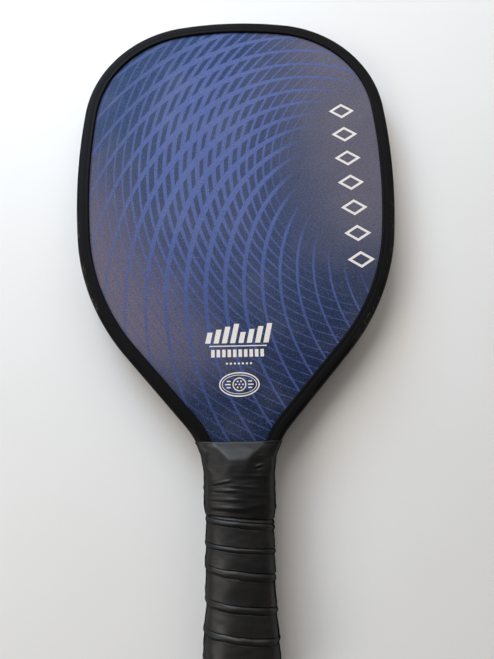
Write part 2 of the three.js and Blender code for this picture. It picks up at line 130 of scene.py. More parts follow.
def finish_mesh(name, bm, material, sharp_degrees=40):
    """A smooth-shaded object in metres from a bmesh in millimetres."""
    bmesh.ops.recalc_face_normals(bm, faces=bm.faces)
    mesh = bpy.data.meshes.new(name)
    bm.to_mesh(mesh)
    bm.free()
    mesh.transform(((MM, 0, 0, 0), (0, MM, 0, 0), (0, 0, MM, 0), (0, 0, 0, 1)))
    mesh.polygons.foreach_set("use_smooth", [True] * len(mesh.polygons))
    mesh.set_sharp_from_angle(angle=math.radians(sharp_degrees))
    mesh.materials.append(material)
    piece = bpy.data.objects.new(name, mesh)
    link(piece)
    return piece


def link(thing):
    bpy.context.scene.collection.objects.link(thing)


def add_grid(bm, rows, close_rows=False, close_columns=False):
    """Quads between rows of points, which all have the same length."""
    made = [[bm.verts.new(point) for point in row] for row in rows]
    row_count, column_count = len(made), len(made[0])
    for r in range(row_count if close_rows else row_count - 1):
        low, high = made[r], made[(r + 1) % row_count]
        for c in range(column_count if close_columns else column_count - 1):
            d = (c + 1) % column_count
            bm.faces.new((low[c], low[d], high[d], high[c]))
    return made


def blend(low, high, value):
    """0 at low, 1 at high, and a smooth climb between, whichever of the two is the larger."""
    share = np.clip((value - low) / (high - low), 0, 1)
    return share * share * (3 - 2 * share)


def bump_at(value, middle, half_width):
    """A bell of height 1 round a middle."""
    return np.exp(-(((value - middle) / half_width) ** 2))


def rough(x, y, z, size, seed=0.0):
    """Smooth noise from -1 to 1 with features of a size."""
    return noise.noise(Vector((x / size + seed, y / size - seed, z / size + 2 * seed)))


# ---- The head's outline ----

def normal_at(heading):
    """The outward normal at a heading, which turns clockwise from +X at the head's top."""
    return np.array([math.sin(heading), math.cos(heading)])


def heading_from(centre, to):
    return math.atan2(to[0] - centre[0], to[1] - centre[1])


def circles_cross(first, first_radius, second, second_radius):
    """The crossing of two circles that lies to the right of the way from the first to the second."""
    apart = np.linalg.norm(second - first)
    along = (first_radius ** 2 - second_radius ** 2 + apart ** 2) / (2 * apart)
    across = math.sqrt(first_radius ** 2 - along ** 2)
    way = (second - first) / apart
    return first + way * along + np.array([way[1], -way[0]]) * across


def outline_arcs():
    """The right-hand arcs from the top down, as (centre, radius, first heading, last heading)."""
    crown = np.array([0, TOP_Y - CROWN_RADIUS])
    flank = np.array([HALF_WIDTH - FLANK_RADIUS, WIDEST_Y])
    shoulder = circles_cross(
        crown, CROWN_RADIUS - SHOULDER_RADIUS, flank, FLANK_RADIUS - SHOULDER_RADIUS)
    throat = np.array([NECK_HALF_WIDTH + THROAT_RADIUS, NECK_Y])
    taper_normal = normal_at(TAPER_HEADING)
    hip_out = throat @ taper_normal - THROAT_RADIUS - HIP_RADIUS - flank @ taper_normal
    hip_back = math.sqrt((FLANK_RADIUS - HIP_RADIUS) ** 2 - hip_out ** 2)
    hip = flank + taper_normal * hip_out - normal_at(TAPER_HEADING + math.pi / 2) * hip_back
    crown_end = heading_from(crown, shoulder)
    shoulder_end = heading_from(flank, shoulder)
    flank_end = heading_from(flank, hip)
    return [
        (crown, CROWN_RADIUS, 0, crown_end),
        (shoulder, SHOULDER_RADIUS, crown_end, shoulder_end),
        (flank, FLANK_RADIUS, shoulder_end, flank_end),
        (hip, HIP_RADIUS, flank_end, TAPER_HEADING),
        (throat, -THROAT_RADIUS, TAPER_HEADING, math.pi / 2),
    ]


ARCS = outline_arcs()


def outline_stations(spacing):
    """Places along the right half of the guard's outer edge, top first, each with its outward normal."""
    stations = []
    for centre, radius, first, last in ARCS:
        steps = math.ceil(abs(radius * (last - first)) / spacing)
        for heading in np.linspace(first, last, steps + 1):
            normal = normal_at(heading)
            stations.append((centre + normal * radius, normal))
        if radius == HIP_RADIUS:
            stations.extend(taper_stations(stations[-1], spacing))
    places = [stations[0]]
    for place, normal in stations[1:]:
        if np.linalg.norm(place - places[-1][0]) > spacing / 10:
            places.append((place, normal))
    return places


def taper_stations(start, spacing):
    """Places along the straight taper, from the hip's end to just before the throat."""
    place, normal = start
    throat_centre, throat_radius = ARCS[-1][0], ARCS[-1][1]
    end = throat_centre + normal * throat_radius
    steps = math.ceil(np.linalg.norm(end - place) / spacing)
    return [(place + (end - place) * step / steps, normal) for step in range(1, steps)]


def squeeze(y):
    """How far the shrunk collar presses the guard's ends in at a height."""
    return COLLAR_SQUEEZE * blend(SQUEEZE_START_Y, SQUEEZE_FULL_Y, y)


def throat_half_width(y):
    """Half the guard's width at a height on the neck, the throat or the taper, as the collar leaves it."""
    centre, radius = ARCS[-1][0], ARCS[-1][1]
    end = centre + normal_at(TAPER_HEADING) * radius
    if y < centre[1]:
        return NECK_HALF_WIDTH - squeeze(y)
    if y > end[1]:
        return end[0] - (y - end[1]) / math.tan(TAPER_HEADING)
    return centre[0] - math.sqrt(radius ** 2 - (y - centre[1]) ** 2) - squeeze(y)


# ---- Materials ----

def linear(levels):
    """The linear colour with full alpha that a shader takes, from levels of 0 to 255 on a screen."""
    shares = [level / 255 for level in levels]
    return (*[s / 12.92 if s <= 0.04045 else ((s + 0.055) / 1.055) ** 2.4 for s in shares], 1)


# Where a mix node keeps its colour sockets, among those of its other data types.
MIX_FIRST = 6
MIX_SECOND = 7
MIX_RESULT = 2


class Field:
    """A number that varies over a surface, as a node's socket, so that a pattern is written as a formula."""

    def __init__(self, tree, value):
        self.tree = tree
        self.value = value

    def math(self, operation, *others):
        node = self.tree.nodes.new("ShaderNodeMath")
        node.operation = operation
        for socket, value in zip(node.inputs, (self, *others)):
            plug(socket, value)
        return Field(self.tree, node.outputs[0])

    __add__ = partialmethod(math, "ADD")
    __sub__ = partialmethod(math, "SUBTRACT")
    __mul__ = partialmethod(math, "MULTIPLY")
    __truediv__ = partialmethod(math, "DIVIDE")
    at_least = partialmethod(math, "MAXIMUM")
    root = partialmethod(math, "SQRT")

    def __rsub__(self, other):
        return (self * -1) + other

    def bell(self):
        """exp(-x squared)."""
        return (self * self * -1).math("EXPONENT")

    def from_nearest_whole(self):
        """How far it is from the nearest whole number."""
        return self.math("PINGPONG", 0.5)

    def climb(self, low, high):
        """0 at low and 1 at high, with a smooth climb. With low above high it falls instead."""
        node = self.tree.nodes.new("ShaderNodeMapRange")
        node.interpolation_type = "SMOOTHSTEP"
        plug(node.inputs["Value"], self)
        falls = low > high
        plug(node.inputs["From Min"], high if falls else low)
        plug(node.inputs["From Max"], low if falls else high)
        node.inputs["To Min"].default_value = 1 if falls else 0
        node.inputs["To Max"].default_value = 0 if falls else 1
        return Field(self.tree, node.outputs["Result"])


def plug(socket, value):
    """Feeds a socket from a field or another socket, or sets it to a plain number or colour."""
    if isinstance(value, Field):
        value = value.value
    if isinstance(value, bpy.types.NodeSocket):
        socket.id_data.links.new(value, socket)
    else:
        socket.default_value = value


class Paint:
    """A material under construction, with places on the surface in millimetres."""

    def __init__(self, name):
        self.material = bpy.data.materials.new(name)
        self.material.use_nodes = True
        self.tree = self.material.node_tree
        self.shader = self.tree.nodes["Principled BSDF"]
        self.place = self.node("TexCoord").outputs["Object"]
        self.place = self.stretched([1 / MM] * 3)
        split = self.node("SeparateXYZ")
        plug(split.inputs[0], self.place)
        self.x, self.y, self.z = [Field(self.tree, output) for output in split.outputs]

    def node(self, kind):
        return self.tree.nodes.new("ShaderNode" + kind)

    def stretched(self, factors):
        """Places on the surface with each axis scaled."""
        node = self.node("VectorMath")
        node.operation = "MULTIPLY"
        plug(node.inputs[0], self.place)
        node.inputs[1].default_value = factors
        return node.outputs[0]

    def noise(self, size, detail=2.0, place=None, roughness=0.5, distortion=0.0):
        """Noise from 0 to 1 with features of a size."""
        node = self.node("TexNoise")
        plug(node.inputs["Vector"], place or self.place)
        node.inputs["Scale"].default_value = 1 / size
        node.inputs["Detail"].default_value = detail
        node.inputs["Roughness"].default_value = roughness
        node.inputs["Distortion"].default_value = distortion
        return Field(self.tree, node.outputs["Fac"])

    def cells(self, size, feature="F1"):
        node = self.node("TexVoronoi")
        node.feature = feature
        plug(node.inputs["Vector"], self.place)
        node.inputs["Scale"].default_value = 1 / size
        return Field(self.tree, node.outputs["Distance"])

    def attribute(self, name):
        """A number stored on the mesh's points."""
        node = self.node("Attribute")
        node.attribute_name = name
        return Field(self.tree, node.outputs["Fac"])

    def mix(self, share, first, second):
        """A colour between two, each given as levels or as a socket."""
        node = self.node("Mix")
        node.data_type = "RGBA"
        plug(node.inputs["Factor"], share)
        for index, colour in ((MIX_FIRST, first), (MIX_SECOND, second)):
            plug(node.inputs[index], linear(colour) if isinstance(colour, tuple) else colour)
        return node.outputs[MIX_RESULT]

    def edge_on(self):
        """0 where the surface faces the viewer, climbing to 1 where it is seen edge on."""
        node = self.node("LayerWeight")
        node.inputs["Blend"].default_value = 0.5
        return Field(self.tree, node.outputs["Facing"])

    def colour(self, value):
        plug(self.shader.inputs["Base Color"], value)

    def roughness(self, value):
        plug(self.shader.inputs["Roughness"], value)

    def specular(self, value):
        plug(self.shader.inputs["Specular IOR Level"], value)

    def relief(self, height, depth):
        """Bump from a field, where 1 stands a depth in millimetres above 0."""
        node = self.node("Bump")
        node.inputs["Strength"].default_value = 1
        node.inputs["Distance"].default_value = depth * MM
        plug(node.inputs["Height"], height)
        plug(self.shader.inputs["Normal"], node.outputs["Normal"])


class Spirals:
    """Evenly turned spirals round one middle, with the number of the one through each point.

    The number grows by arms for one radian round the middle, clockwise from its left, and by growth for one
    millimetre outwards.
    """

    def __init__(self, x, y, middle, arms, growth, start):
        across = x - middle[0]
        up = y - middle[1]
        self.radius = (across * across + up * up).root()
        angle = up.math("ARCTAN2", across * -1)
        self.number = angle * arms + self.radius * growth + start
        round_rate = self.radius.math("POWER", -1) * arms
        self.rate = (round_rate * round_rate + growth * growth).root()

    def strokes(self, half_width, softness):
        """Strokes along the spirals, with a half width in millimetres that may vary."""
        away = self.number.from_nearest_whole() / self.rate
        return ((half_width - away) / softness + 0.5).climb(0, 1)


def swelling(x, y, middle, reach):
    """1 at a middle, falling away smoothly over a reach across and a reach along."""
    return ((x - middle[0]) / reach[0]).bell() * ((y - middle[1]) / reach[1]).bell()


# The print's two sets of spirals, from the middle of the head's top: (middle, arms, growth, start).
RISING_SPIRALS = ((110.9, -119.8), 6.334, 0.0748, 0.164)
FALLING_SPIRALS = ((102.0, -130.2), 3.667, -0.1883, 0.389)

# Where each set's strokes are widest, and how far that reaches.
RISING_SWELL = ((-20, -88), (50, 120))
FALLING_SWELL = ((-22, -84), (42, 108))


def printed_film(name, facing):
    """The playing face: a gritty satin film with two crossing sets of spiral strokes on a graded blue ground,
    with a pale veil of painted reflection at its upper right and lower left.

    facing is 1 on the front and -1 on the back, where the print runs the other way across.
    """
    paint = Paint(name)
    x = paint.x * facing
    y = paint.y - TOP_Y

    rising = Spirals(x, y, *RISING_SPIRALS)
    falling = Spirals(x, y, *FALLING_SPIRALS)
    rising_width = swelling(x, y, *RISING_SWELL) * 1.65 + 0.52
    falling_width = swelling(x, y, *FALLING_SWELL) * 1.25 + 0.28
    rising_ink = rising.strokes(rising_width, 0.5) * rising.radius.climb(68, 92)
    falling_ink = falling.strokes(falling_width, 0.45) * falling.radius.climb(66, 92)
    rising_ink *= 1 - rising.radius.climb(150, 208) * 0.45
    falling_ink *= 0.92 - falling.radius.climb(150, 205) * 0.60
    dashes = (y / 2.4).from_nearest_whole().climb(0.12, 0.24)
    dashes = dashes.at_least(((y + 215) / 50).climb(0, 1))
    ink = rising_ink.at_least(falling_ink * (dashes * 0.4 + 0.6))

    to_navy = (y - x * 0.6).climb(-165, -290)
    ground = paint.mix(to_navy, (56, 67, 96), (19, 33, 58))
    upper_left = (y * 0.9 - x * 0.5).climb(-75, -5)
    ground = paint.mix(upper_left * 0.9, ground, (36, 60, 98))
    # Pale grey-mauve veils at the upper right and the lower left: painted reflection of the room on the satin
    # film.
    painted_reflection_upper_right = (x * 0.8 + y * 0.12).climb(0, 50) * y.climb(-200, -140)
    ground = paint.mix(painted_reflection_upper_right * 0.9, ground, (98, 93, 103))
    painted_reflection_lower_left = (x * -0.80 - y * 0.52).climb(106, 158) * y.climb(-262, -212)
    ground = paint.mix(painted_reflection_lower_left * 0.9, ground, (103, 94, 106))

    line_colour = paint.mix(y.climb(-120, -255), (82, 96, 147), (60, 74, 124))
    colour = paint.mix(ink, ground, line_colour)
    grit = paint.noise(0.8, detail=3, roughness=0.7)
    colour = paint.mix(grit.climb(0.52, 0.74) * 0.25, colour, (150, 154, 176))
    colour = paint.mix(grit.climb(0.48, 0.28) * 0.50, colour, (14, 18, 30))
    cloud = paint.noise(26, detail=3)
    colour = paint.mix(cloud.climb(0.42, 0.72) * 0.08, colour, (130, 128, 138))
    smudge = paint.noise(9, detail=4, roughness=0.7, distortion=1.4)
    smudge = smudge.climb(0.63, 0.70) * ((x + 4) / 42).bell() * ((y + 140) / 34).bell()
    colour = paint.mix(smudge * 0.45, colour, (30, 38, 62))
    paint.colour(colour)
    paint.roughness(grit * 0.18 + 0.44 + smudge * 0.1)
    paint.specular(0.06)
    paint.relief(grit, 0.05)
    return paint.material


def white_ink():
    paint = Paint("white_ink")
    grit = paint.noise(0.5, detail=3)
    worn = paint.noise(2.2, detail=3).climb(0.66, 0.76)
    colour = paint.mix(grit.climb(0.4, 0.7), (228, 219, 210), (208, 199, 192))
    paint.colour(paint.mix(worn * 0.35, colour, (120, 122, 140)))
    paint.roughness(grit * 0.15 + 0.45)
    paint.relief(grit, 0.03)
    return paint.material


def guard_rubber():
    """Black moulded rubber, scuffed grey-brown along its outer edge, where an olive-grey rim is partly wear
    and partly a painted highlight.
    """
    paint = Paint("guard_rubber")
    rim = paint.attribute("rim")
    patches = paint.noise(34, detail=2).climb(0.50, 0.66)
    along_rim = paint.stretched((1, 0.5, 1))
    scuffs = paint.noise(1.6, detail=4, roughness=0.7, place=along_rim).climb(0.53, 0.66)
    fine = paint.noise(0.7, detail=3)
    wear = rim * patches * scuffs
    colour = paint.mix(fine, (9, 8, 9), (15, 13, 14))
    # Olive-grey in patches along the outer rim: partly wear, partly a painted highlight of the rim.
    colour = paint.mix(rim * patches * 0.5, colour, (46, 43, 36))
    paint.colour(paint.mix(wear * 0.8, colour, (112, 100, 86)))
    paint.roughness(fine * 0.12 + 0.5 + wear * 0.2)
    paint.specular(0.06)
    paint.relief(fine * 0.5 + scuffs * rim * 0.6, 0.05)
    return paint.material


def collar_rubber():
    """Heat-shrunk rubber: smooth and satin with faint stretch marks."""
    paint = Paint("collar_rubber")
    fine = paint.noise(0.5, detail=3)
    stretch = paint.noise(5, detail=3, place=paint.stretched((0.5, 1.6, 0.5)))
    colour = paint.mix(stretch.climb(0.35, 0.7), (12, 11, 10), (20, 18, 17))
    paint.colour(colour)
    paint.roughness(stretch * 0.12 + 0.33 + fine * 0.06)
    paint.specular(paint.edge_on().climb(0.80, 0.20) * 0.34)
    paint.relief(fine * 0.4 + stretch * 0.6, 0.05)
    return paint.material


def grip_skin():
    """The grip's soft skin: fine grain, painted shade in its seams, smoother where it stands out, and warm
    lighter patches, partly polished by hands and partly painted sheen.
    """
    paint = Paint("grip_skin")
    crest = paint.attribute("crest")
    grain = paint.cells(0.55)
    fine = paint.noise(0.35, detail=2)
    # Warm lighter patches: partly polish from hands, partly painted sheen.
    hand_polish_and_sheen = paint.noise(14, detail=3).climb(0.38, 0.68)
    colour = paint.mix(hand_polish_and_sheen, (19, 18, 18), (31, 29, 26))
    # Painted shade: darker where the strip stands low, in the seams and grooves between the turns.
    colour = paint.mix(crest.climb(0.40, 0.0), colour, (11, 11, 12))
    paint.colour(colour)
    paint.roughness(crest * -0.08 + 0.46 + fine * 0.1 - hand_polish_and_sheen * 0.09)
    paint.specular(paint.edge_on().climb(0.80, 0.20) * 0.32)
    paint.relief(grain * 0.6 + fine * 0.4, 0.05)
    return paint.material


def moulded_plastic(name, dark, light):
    paint = Paint(name)
    fine = paint.noise(0.4, detail=3)
    flow = paint.noise(9, detail=2)
    paint.colour(paint.mix(flow, dark, light))
    paint.roughness(fine * 0.15 + 0.38)
    paint.relief(fine, 0.03)
    return paint.material


def dull(field):
    """A matt surface's roughness, varied a little by a field."""
    return field * 0.15 + 0.75


def honeycomb_core():
    """Light cell walls over open cells, which are painted dark as shade in their hollows, as the core's cut
    edge and faces show them.
    """
    paint = Paint("honeycomb_core")
    wall = paint.cells(8, feature="DISTANCE_TO_EDGE").climb(0.10, 0.04)
    fibre = paint.noise(1.2, detail=4)
    # The open cells take the dark colour: painted shade in their hollows.
    colour = paint.mix(wall, (92, 78, 48), (206, 190, 148))
    paint.colour(paint.mix(fibre.climb(0.5, 0.8) * 0.4, colour, (150, 132, 92)))
    paint.roughness(dull(fibre))
    paint.relief(wall, 0.4)
    return paint.material


def woven(name, dark, light, pitch):
    """A plain weave, for the cloth of the scrims and tapes and the fibres of the face sheets."""
    paint = Paint(name)
    over = (paint.x / pitch).from_nearest_whole()
    under = (paint.y / pitch).from_nearest_whole()
    weave = (over + under).climb(0.2, 0.8)
    fuzz = paint.noise(0.6, detail=3)
    paint.colour(paint.mix(weave * 0.7 + fuzz * 0.3, dark, light))
    paint.roughness(dull(fuzz) - weave * 0.1)
    paint.relief(weave, 0.08)
    return paint.material


def foam():
    paint = Paint("pallet_foam")
    bubbles = paint.cells(1.1)
    tone = paint.noise(5, detail=3)
    paint.colour(paint.mix(tone, (52, 52, 54), (70, 70, 72)))
    paint.roughness(dull(tone))
    paint.relief(bubbles, 0.25)
    return paint.material


def drawn_steel():
    """Staple wire, brushed along its length."""
    paint = Paint("drawn_steel")
    brushed = paint.noise(0.2, detail=2, place=paint.stretched((1, 0.05, 0.05)))
    paint.colour(paint.mix(brushed, (150, 152, 156), (196, 198, 202)))
    paint.shader.inputs["Metallic"].default_value = 1
    paint.roughness(brushed * 0.2 + 0.25)
    paint.relief(brushed, 0.01)
    return paint.material


def table_top():
    paint = Paint("table_top")
    tone = paint.noise(60, detail=2)
    paint.colour(paint.mix(tone, (226, 223, 219), (230, 227, 223)))
    paint.roughness(tone * 0.1 + 0.5)
    return paint.material


# ---- Camera, light and table ----

# The camera's place in millimetres and its turns in degrees.
CAMERA_PLACE = (8.8, 113.8, 286.2)
CAMERA_TILT = 13.87
CAMERA_ROLL = 0.86
CAMERA_TURN = -1.08
CAMERA_LENS = 27.04
SENSOR = 36.0
CLIP_START = 0.005

ROOM_COLOUR = (1.0, 0.96, 0.92, 1)
ROOM_STRENGTH = 0.13
LIGHT_AIM = (0, 0.2, 0)

# A wide window past the head, a weaker one to its right, a patch of blue sky and a warm lamp on the left:
# (name, place and size in metres, watts, colour).
LIGHTS = [
    ("window", (-0.50, 1.15, 0.90), 1.3, 21, (0.99, 0.98, 1.0)),
    ("far_window", (0.70, 1.25, 0.90), 1.0, 6, (1.0, 0.97, 0.94)),
    ("sky", (-0.44, 1.05, 0.52), 0.4, 3.7, (0.20, 0.60, 1.0)),
    ("lamp", (-1.20, -0.20, 0.95), 0.8, 7, (1.0, 0.96, 0.90)),
]

TABLE_HALF = 3000.0


def add_camera():
    data = bpy.data.cameras.new("camera")
    data.lens = CAMERA_LENS
    data.sensor_width = SENSOR
    data.clip_start = CLIP_START
    camera = bpy.data.objects.new("camera", data)
    camera.location = Vector(CAMERA_PLACE) * MM
    camera.rotation_euler = [math.radians(turn) for turn in (CAMERA_TILT, CAMERA_ROLL, CAMERA_TURN)]
    link(camera)
    bpy.context.scene.camera = camera


def add_area_light(name, place, size, watts, colour):
    data = bpy.data.lights.new(name, "AREA")
    data.shape = "DISK"
    data.size = size
    data.energy = watts
    data.color = colour
    light = bpy.data.objects.new(name, data)
    light.location = place
    light.rotation_euler = (Vector(place) - Vector(LIGHT_AIM)).to_track_quat("Z", "Y").to_euler()
    link(light)


def add_light():
    """The faint light of the room and the area lights."""
    world = bpy.data.worlds.new("studio")
    world.use_nodes = True
    background = world.node_tree.nodes["Background"]
    background.inputs["Color"].default_value = ROOM_COLOUR
    background.inputs["Strength"].default_value = ROOM_STRENGTH
    bpy.context.scene.world = world
    for light in LIGHTS:
        add_area_light(*light)


def add_table():
    """The table, tilted in the paddle's frame so that it touches the collar's foot and the head's far rim."""
    collar_foot = Vector((0, COLLAR_LOW[1], COLLAR_LOW[2]))
    rim = Vector((0, TOP_Y - GUARD_ROUND_IN, -GUARD_Z))
    slope = math.atan2(rim.z - collar_foot.z, rim.y - collar_foot.y)
    bm = bmesh.new()
    add_grid(bm, [[(x, y, 0) for x in (-TABLE_HALF, TABLE_HALF)] for y in (-TABLE_HALF, TABLE_HALF)])
    table = finish_mesh("table", bm, table_top())
    table.rotation_euler = (slope, 0, 0)
    table.location = collar_foot * MM


# ---- The edge guard ----

def guard_profile():
    """Half of the channel's section, from the middle of the outside to the middle of the inside.

    Each point is (inset from the outer edge, height above the middle plane).
    """
    corner_z = GUARD_Z - GUARD_ROUND_DEEP
    points = [(0, 0), (0, corner_z * 0.5)]
    for angle in np.linspace(0, math.pi / 2, 9):
        inset = GUARD_ROUND_IN * (1 - math.cos(angle))
        points.append((inset, corner_z + GUARD_ROUND_DEEP * math.sin(angle)))
    lip_z = GUARD_Z - LIP_DROP
    groove = LIP_GROOVE_INSET
    points += [
        (groove - 2.2, GUARD_Z),
        (groove - 0.55, lip_z),
        (groove - 0.2, lip_z - LIP_GROOVE_DEPTH),
        (groove + 0.1, lip_z - LIP_GROOVE_DEPTH),
        (groove + 0.45, lip_z - 0.02),
        (GUARD_BAND - 0.7, lip_z - 0.02),
        (GUARD_BAND - 0.25, lip_z - 0.16),
        (GUARD_BAND - 0.05, lip_z - 0.45),
        (GUARD_BAND, PANEL_Z + GUARD_FIT + 0.15),
        (GUARD_BAND - 0.1, PANEL_Z + GUARD_FIT),
        (GUARD_WEB, PANEL_Z + GUARD_FIT),
        (GUARD_WEB, 0),
    ]
    return points


def guard_row(place, normal, section):
    """The channel's section at one place, pressed in by the collar and kept clear of the pallets."""
    clear_x = PALLET_HIGH[0] + PALLET_CLEARANCE
    clear_y = PALLET_HIGH[1] + PALLET_CLEARANCE
    row = []
    for inset, z in section:
        is_leg = inset > GUARD_WEB + 1
        waver = GUARD_WAVER * rough(place[0], place[1], z, 22)
        x, y = place - normal * (inset + waver * is_leg)
        x -= math.copysign(squeeze(y), place[0])
        if y < clear_y and abs(x) < clear_x:
            x = math.copysign(clear_x, place[0])
        row.append((x, max(y, GUARD_END_Y), z))
    return row


def add_edge_guard():
    half = guard_profile()
    section = half + [(inset, -z) for inset, z in reversed(half[1:-1])]
    stations = [s for s in outline_stations(STATION_SPACING) if s[0][1] > GUARD_END_Y + 0.5]
    end_place = np.array([throat_half_width(GUARD_END_Y) + squeeze(GUARD_END_Y), GUARD_END_Y])
    stations.append((end_place, stations[-1][1]))
    left = [(place * (-1, 1), normal * (-1, 1)) for place, normal in reversed(stations[1:])]

    bm = bmesh.new()
    rim = bm.verts.layers.float.new("rim")
    made = add_grid(bm, [guard_row(*station, section) for station in left + stations], close_columns=True)
    for row in made:
        for vert, (inset, _) in zip(row, section):
            vert[rim] = float(blend(RIM_WEAR_AND_SHEEN_ENDS_INSET, RIM_WEAR_AND_SHEEN_FULL_INSET, inset))
    for row in (made[0], made[-1]):
        bm.faces.new(row)
    bmesh.ops.triangulate(bm, faces=[f for f in bm.faces if len(f.verts) > 4])
    guard = finish_mesh("edge_guard_shell", bm, guard_rubber(), sharp_degrees=50)
    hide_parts("edge_guard")
    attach(guard, "root")


# ---- Sections of the handle ----

ROUND_STEPS = 96


def support_contour(corners, reach, count):
    """One quarter of the contour round some corners grown by a reach, from +X to +Z, evenly spaced."""
    corners = np.array(corners)
    angles = np.linspace(0, math.pi / 2, ROUND_STEPS)
    ways = np.column_stack([np.cos(angles), np.sin(angles)])
    furthest = corners[np.argmax(corners @ ways.T, axis=0)]
    contour = furthest + ways * reach
    contour = np.vstack([[contour[0][0], 0], contour, [0, contour[-1][1]]])
    lengths = np.concatenate([[0], np.cumsum(np.linalg.norm(np.diff(contour, axis=0), axis=1))])
    places = np.linspace(0, lengths[-1], count + 1)
    return np.column_stack([np.interp(places, lengths, contour[:, k]) for k in range(2)])


def whole_contour(quarter):
    """The quarter mirrored round, starting at the front's middle (0, +Z) and going by +X."""
    right = quarter[::-1]
    back_right = quarter[1:] * (1, -1)
    back_left = quarter[::-1][1:] * (-1, -1)
    left = quarter[1:-1] * (-1, 1)
    return np.vstack([right, back_right, back_left, left])


def contour_normals(contour):
    """Outward normals of a closed contour that goes from the front's middle by +X."""
    along = np.roll(contour, -1, axis=0) - np.roll(contour, 1, axis=0)
    along /= np.linalg.norm(along, axis=1)[:, None]
    return np.column_stack([-along[:, 1], along[:, 0]])


def handle_contour(reach, count):
    return whole_contour(support_contour(HANDLE_CORNERS, reach, count))


def soften(contour, radius):
    """Rounds a closed, evenly spaced contour's corners off and keeps how far it reaches each way."""
    spacing = np.linalg.norm(contour[1] - contour[0])
    share = np.fft.fftfreq(len(contour)) * radius / spacing
    kept = np.exp(-2 * (math.pi * share) ** 2)
    rounded = np.fft.ifft(np.fft.fft(contour, axis=0) * kept[:, None], axis=0).real
    return rounded * (np.abs(contour).max(axis=0) / np.abs(rounded).max(axis=0))


def once_round(contour):
    """A closed contour's points with the first one again at the end."""
    return np.vstack([contour, contour[:1]])


def placed(contour, y):
    """A contour's points at a height, which may be one number or one for each point."""
    heights = np.broadcast_to(y, len(contour))
    return np.column_stack([contour[:, 0], heights, contour[:, 1]])


# ---- The grip ----

GRIP_QUARTER = 44
GRIP_OUTER_REACH = 4.75
GRIP_SOFTNESS = 5.0
GRIP_SINK = 0.5
SEAM_START_Y = 92.2
SEAM_PITCH = 13.3
SEAM_WAVER = 0.45
SEAM_SLIP = 2.9
SEAM_SLIP_TURN = 2.9
ROLL_SHARE = 0.25
ROLL_STAND = 0.85
FLAT_START = 0.12
FLAT_STAND = 0.66
LINING_FIT = 0.2
MERGE_DISTANCE = 0.0005
FIRST_TURN = -3
LAST_TURN = 7

# The grip climbs on to the butt cap. Under the collar it loses a share of its relief and is pressed in.
GRIP_CLIMB = 1.2
CLIMB_START_Y = 38.0
CLIMB_END_Y = 19.0
PRESSED_SHARE = 0.75
PRESSED_DEPTH = 0.45


def seam_height(turn):
    """The height of the strip's upper edge after a number of turns, with one turn wound a little wide."""
    return SEAM_START_Y - SEAM_PITCH * turn + SEAM_SLIP * bump_at(turn, SEAM_SLIP_TURN, 0.75)


def strip_profile(share):
    """How high the strip stands at a share of the way down one turn.

    It starts with the rolled edge, steps down, and rises slowly to its lower edge, which laps the next turn.
    """
    roll = ROLL_STAND * np.sin(math.pi * np.clip(share / ROLL_SHARE, 0, 1)) ** 0.85
    along = np.clip((share - ROLL_SHARE) / (1 - ROLL_SHARE), 0, 1)
    flat = (FLAT_START + (FLAT_STAND - FLAT_START) * along) * blend(0, 0.05, along) * blend(1, 0.972, along)
    return roll + flat


def strip_phases():
    """Shares of a turn for the rows within one winding, close together at the strip's edges."""
    fine = np.array([-0.035, -0.022, -0.012, -0.005, 0.004, 0.012, 0.022, 0.035])
    even = np.linspace(0, 1, 26, endpoint=False)
    return np.unique(np.concatenate([even, fine % 1, ROLL_SHARE + fine]))


def grip_stand(base, heights, profile):
    """How far the wound strip stands out from its base contour at each point."""
    uneven = np.array([
        0.42 * rough(x, y, z, 11, 3.1) + 0.20 * rough(x * 0.6, y * 1.6, z, 4.5, 8.7)
        for (x, z), y in zip(base, heights)])
    climb = GRIP_CLIMB * (1 - blend(CLIMB_END_Y, CLIMB_START_Y, heights))
    pressed = blend(-2.5, 0.5, heights - foot_height(base[:, 0]))
    relief = (profile + uneven) * (1 - PRESSED_SHARE * pressed)
    return relief - GRIP_SINK - PRESSED_DEPTH * pressed + climb


def wound_rows():
    """The strip's rows from the top down, each one turn long, with how high each row's crest is."""
    bottom, top = GRIP_LOW[1], GRIP_HIGH[1]
    contour = soften(handle_contour(GRIP_OUTER_REACH, GRIP_QUARTER), GRIP_SOFTNESS)
    base = once_round(contour)
    normals = once_round(contour_normals(contour))
    shares = np.linspace(0, 1, len(base))
    phases = strip_phases()
    rows = []
    crests = []
    for turn in np.concatenate([whole + phases for whole in range(FIRST_TURN, LAST_TURN + 1)]):
        waver = [SEAM_WAVER * rough(x, turn * SEAM_PITCH, z, 9, 5.3) for x, z in base]
        heights = np.clip(seam_height(turn + shares) + waver, bottom, top)
        if rows and np.all(heights >= top) and np.all(rows[-1][:, 1] >= top):
            continue
        profile = strip_profile(turn % 1)
        moved = base + normals * grip_stand(base, heights, profile)[:, None]
        rows.append(placed(moved, heights))
        crests.append(np.clip(profile / 0.6, 0, 1))
        if np.all(heights <= bottom):
            break
    return rows, crests


def grip_lining():
    """Rows up the grip's inside: over the butt cap's wall and then along the pallets."""
    inner_reach = reach_of(PALLET_HIGH) + LINING_FIT
    inner = once_round(handle_contour(inner_reach, GRIP_QUARTER))
    wide = once_round(handle_contour(inner_reach + CAP_WALL + 0.1, GRIP_QUARTER))
    step_y = CAP_HIGH[1] + 0.05
    return [
        placed(wide, GRIP_LOW[1]),
        placed(wide, step_y),
        placed(inner, step_y + 0.6),
        placed(inner, GRIP_HIGH[1]),
    ]


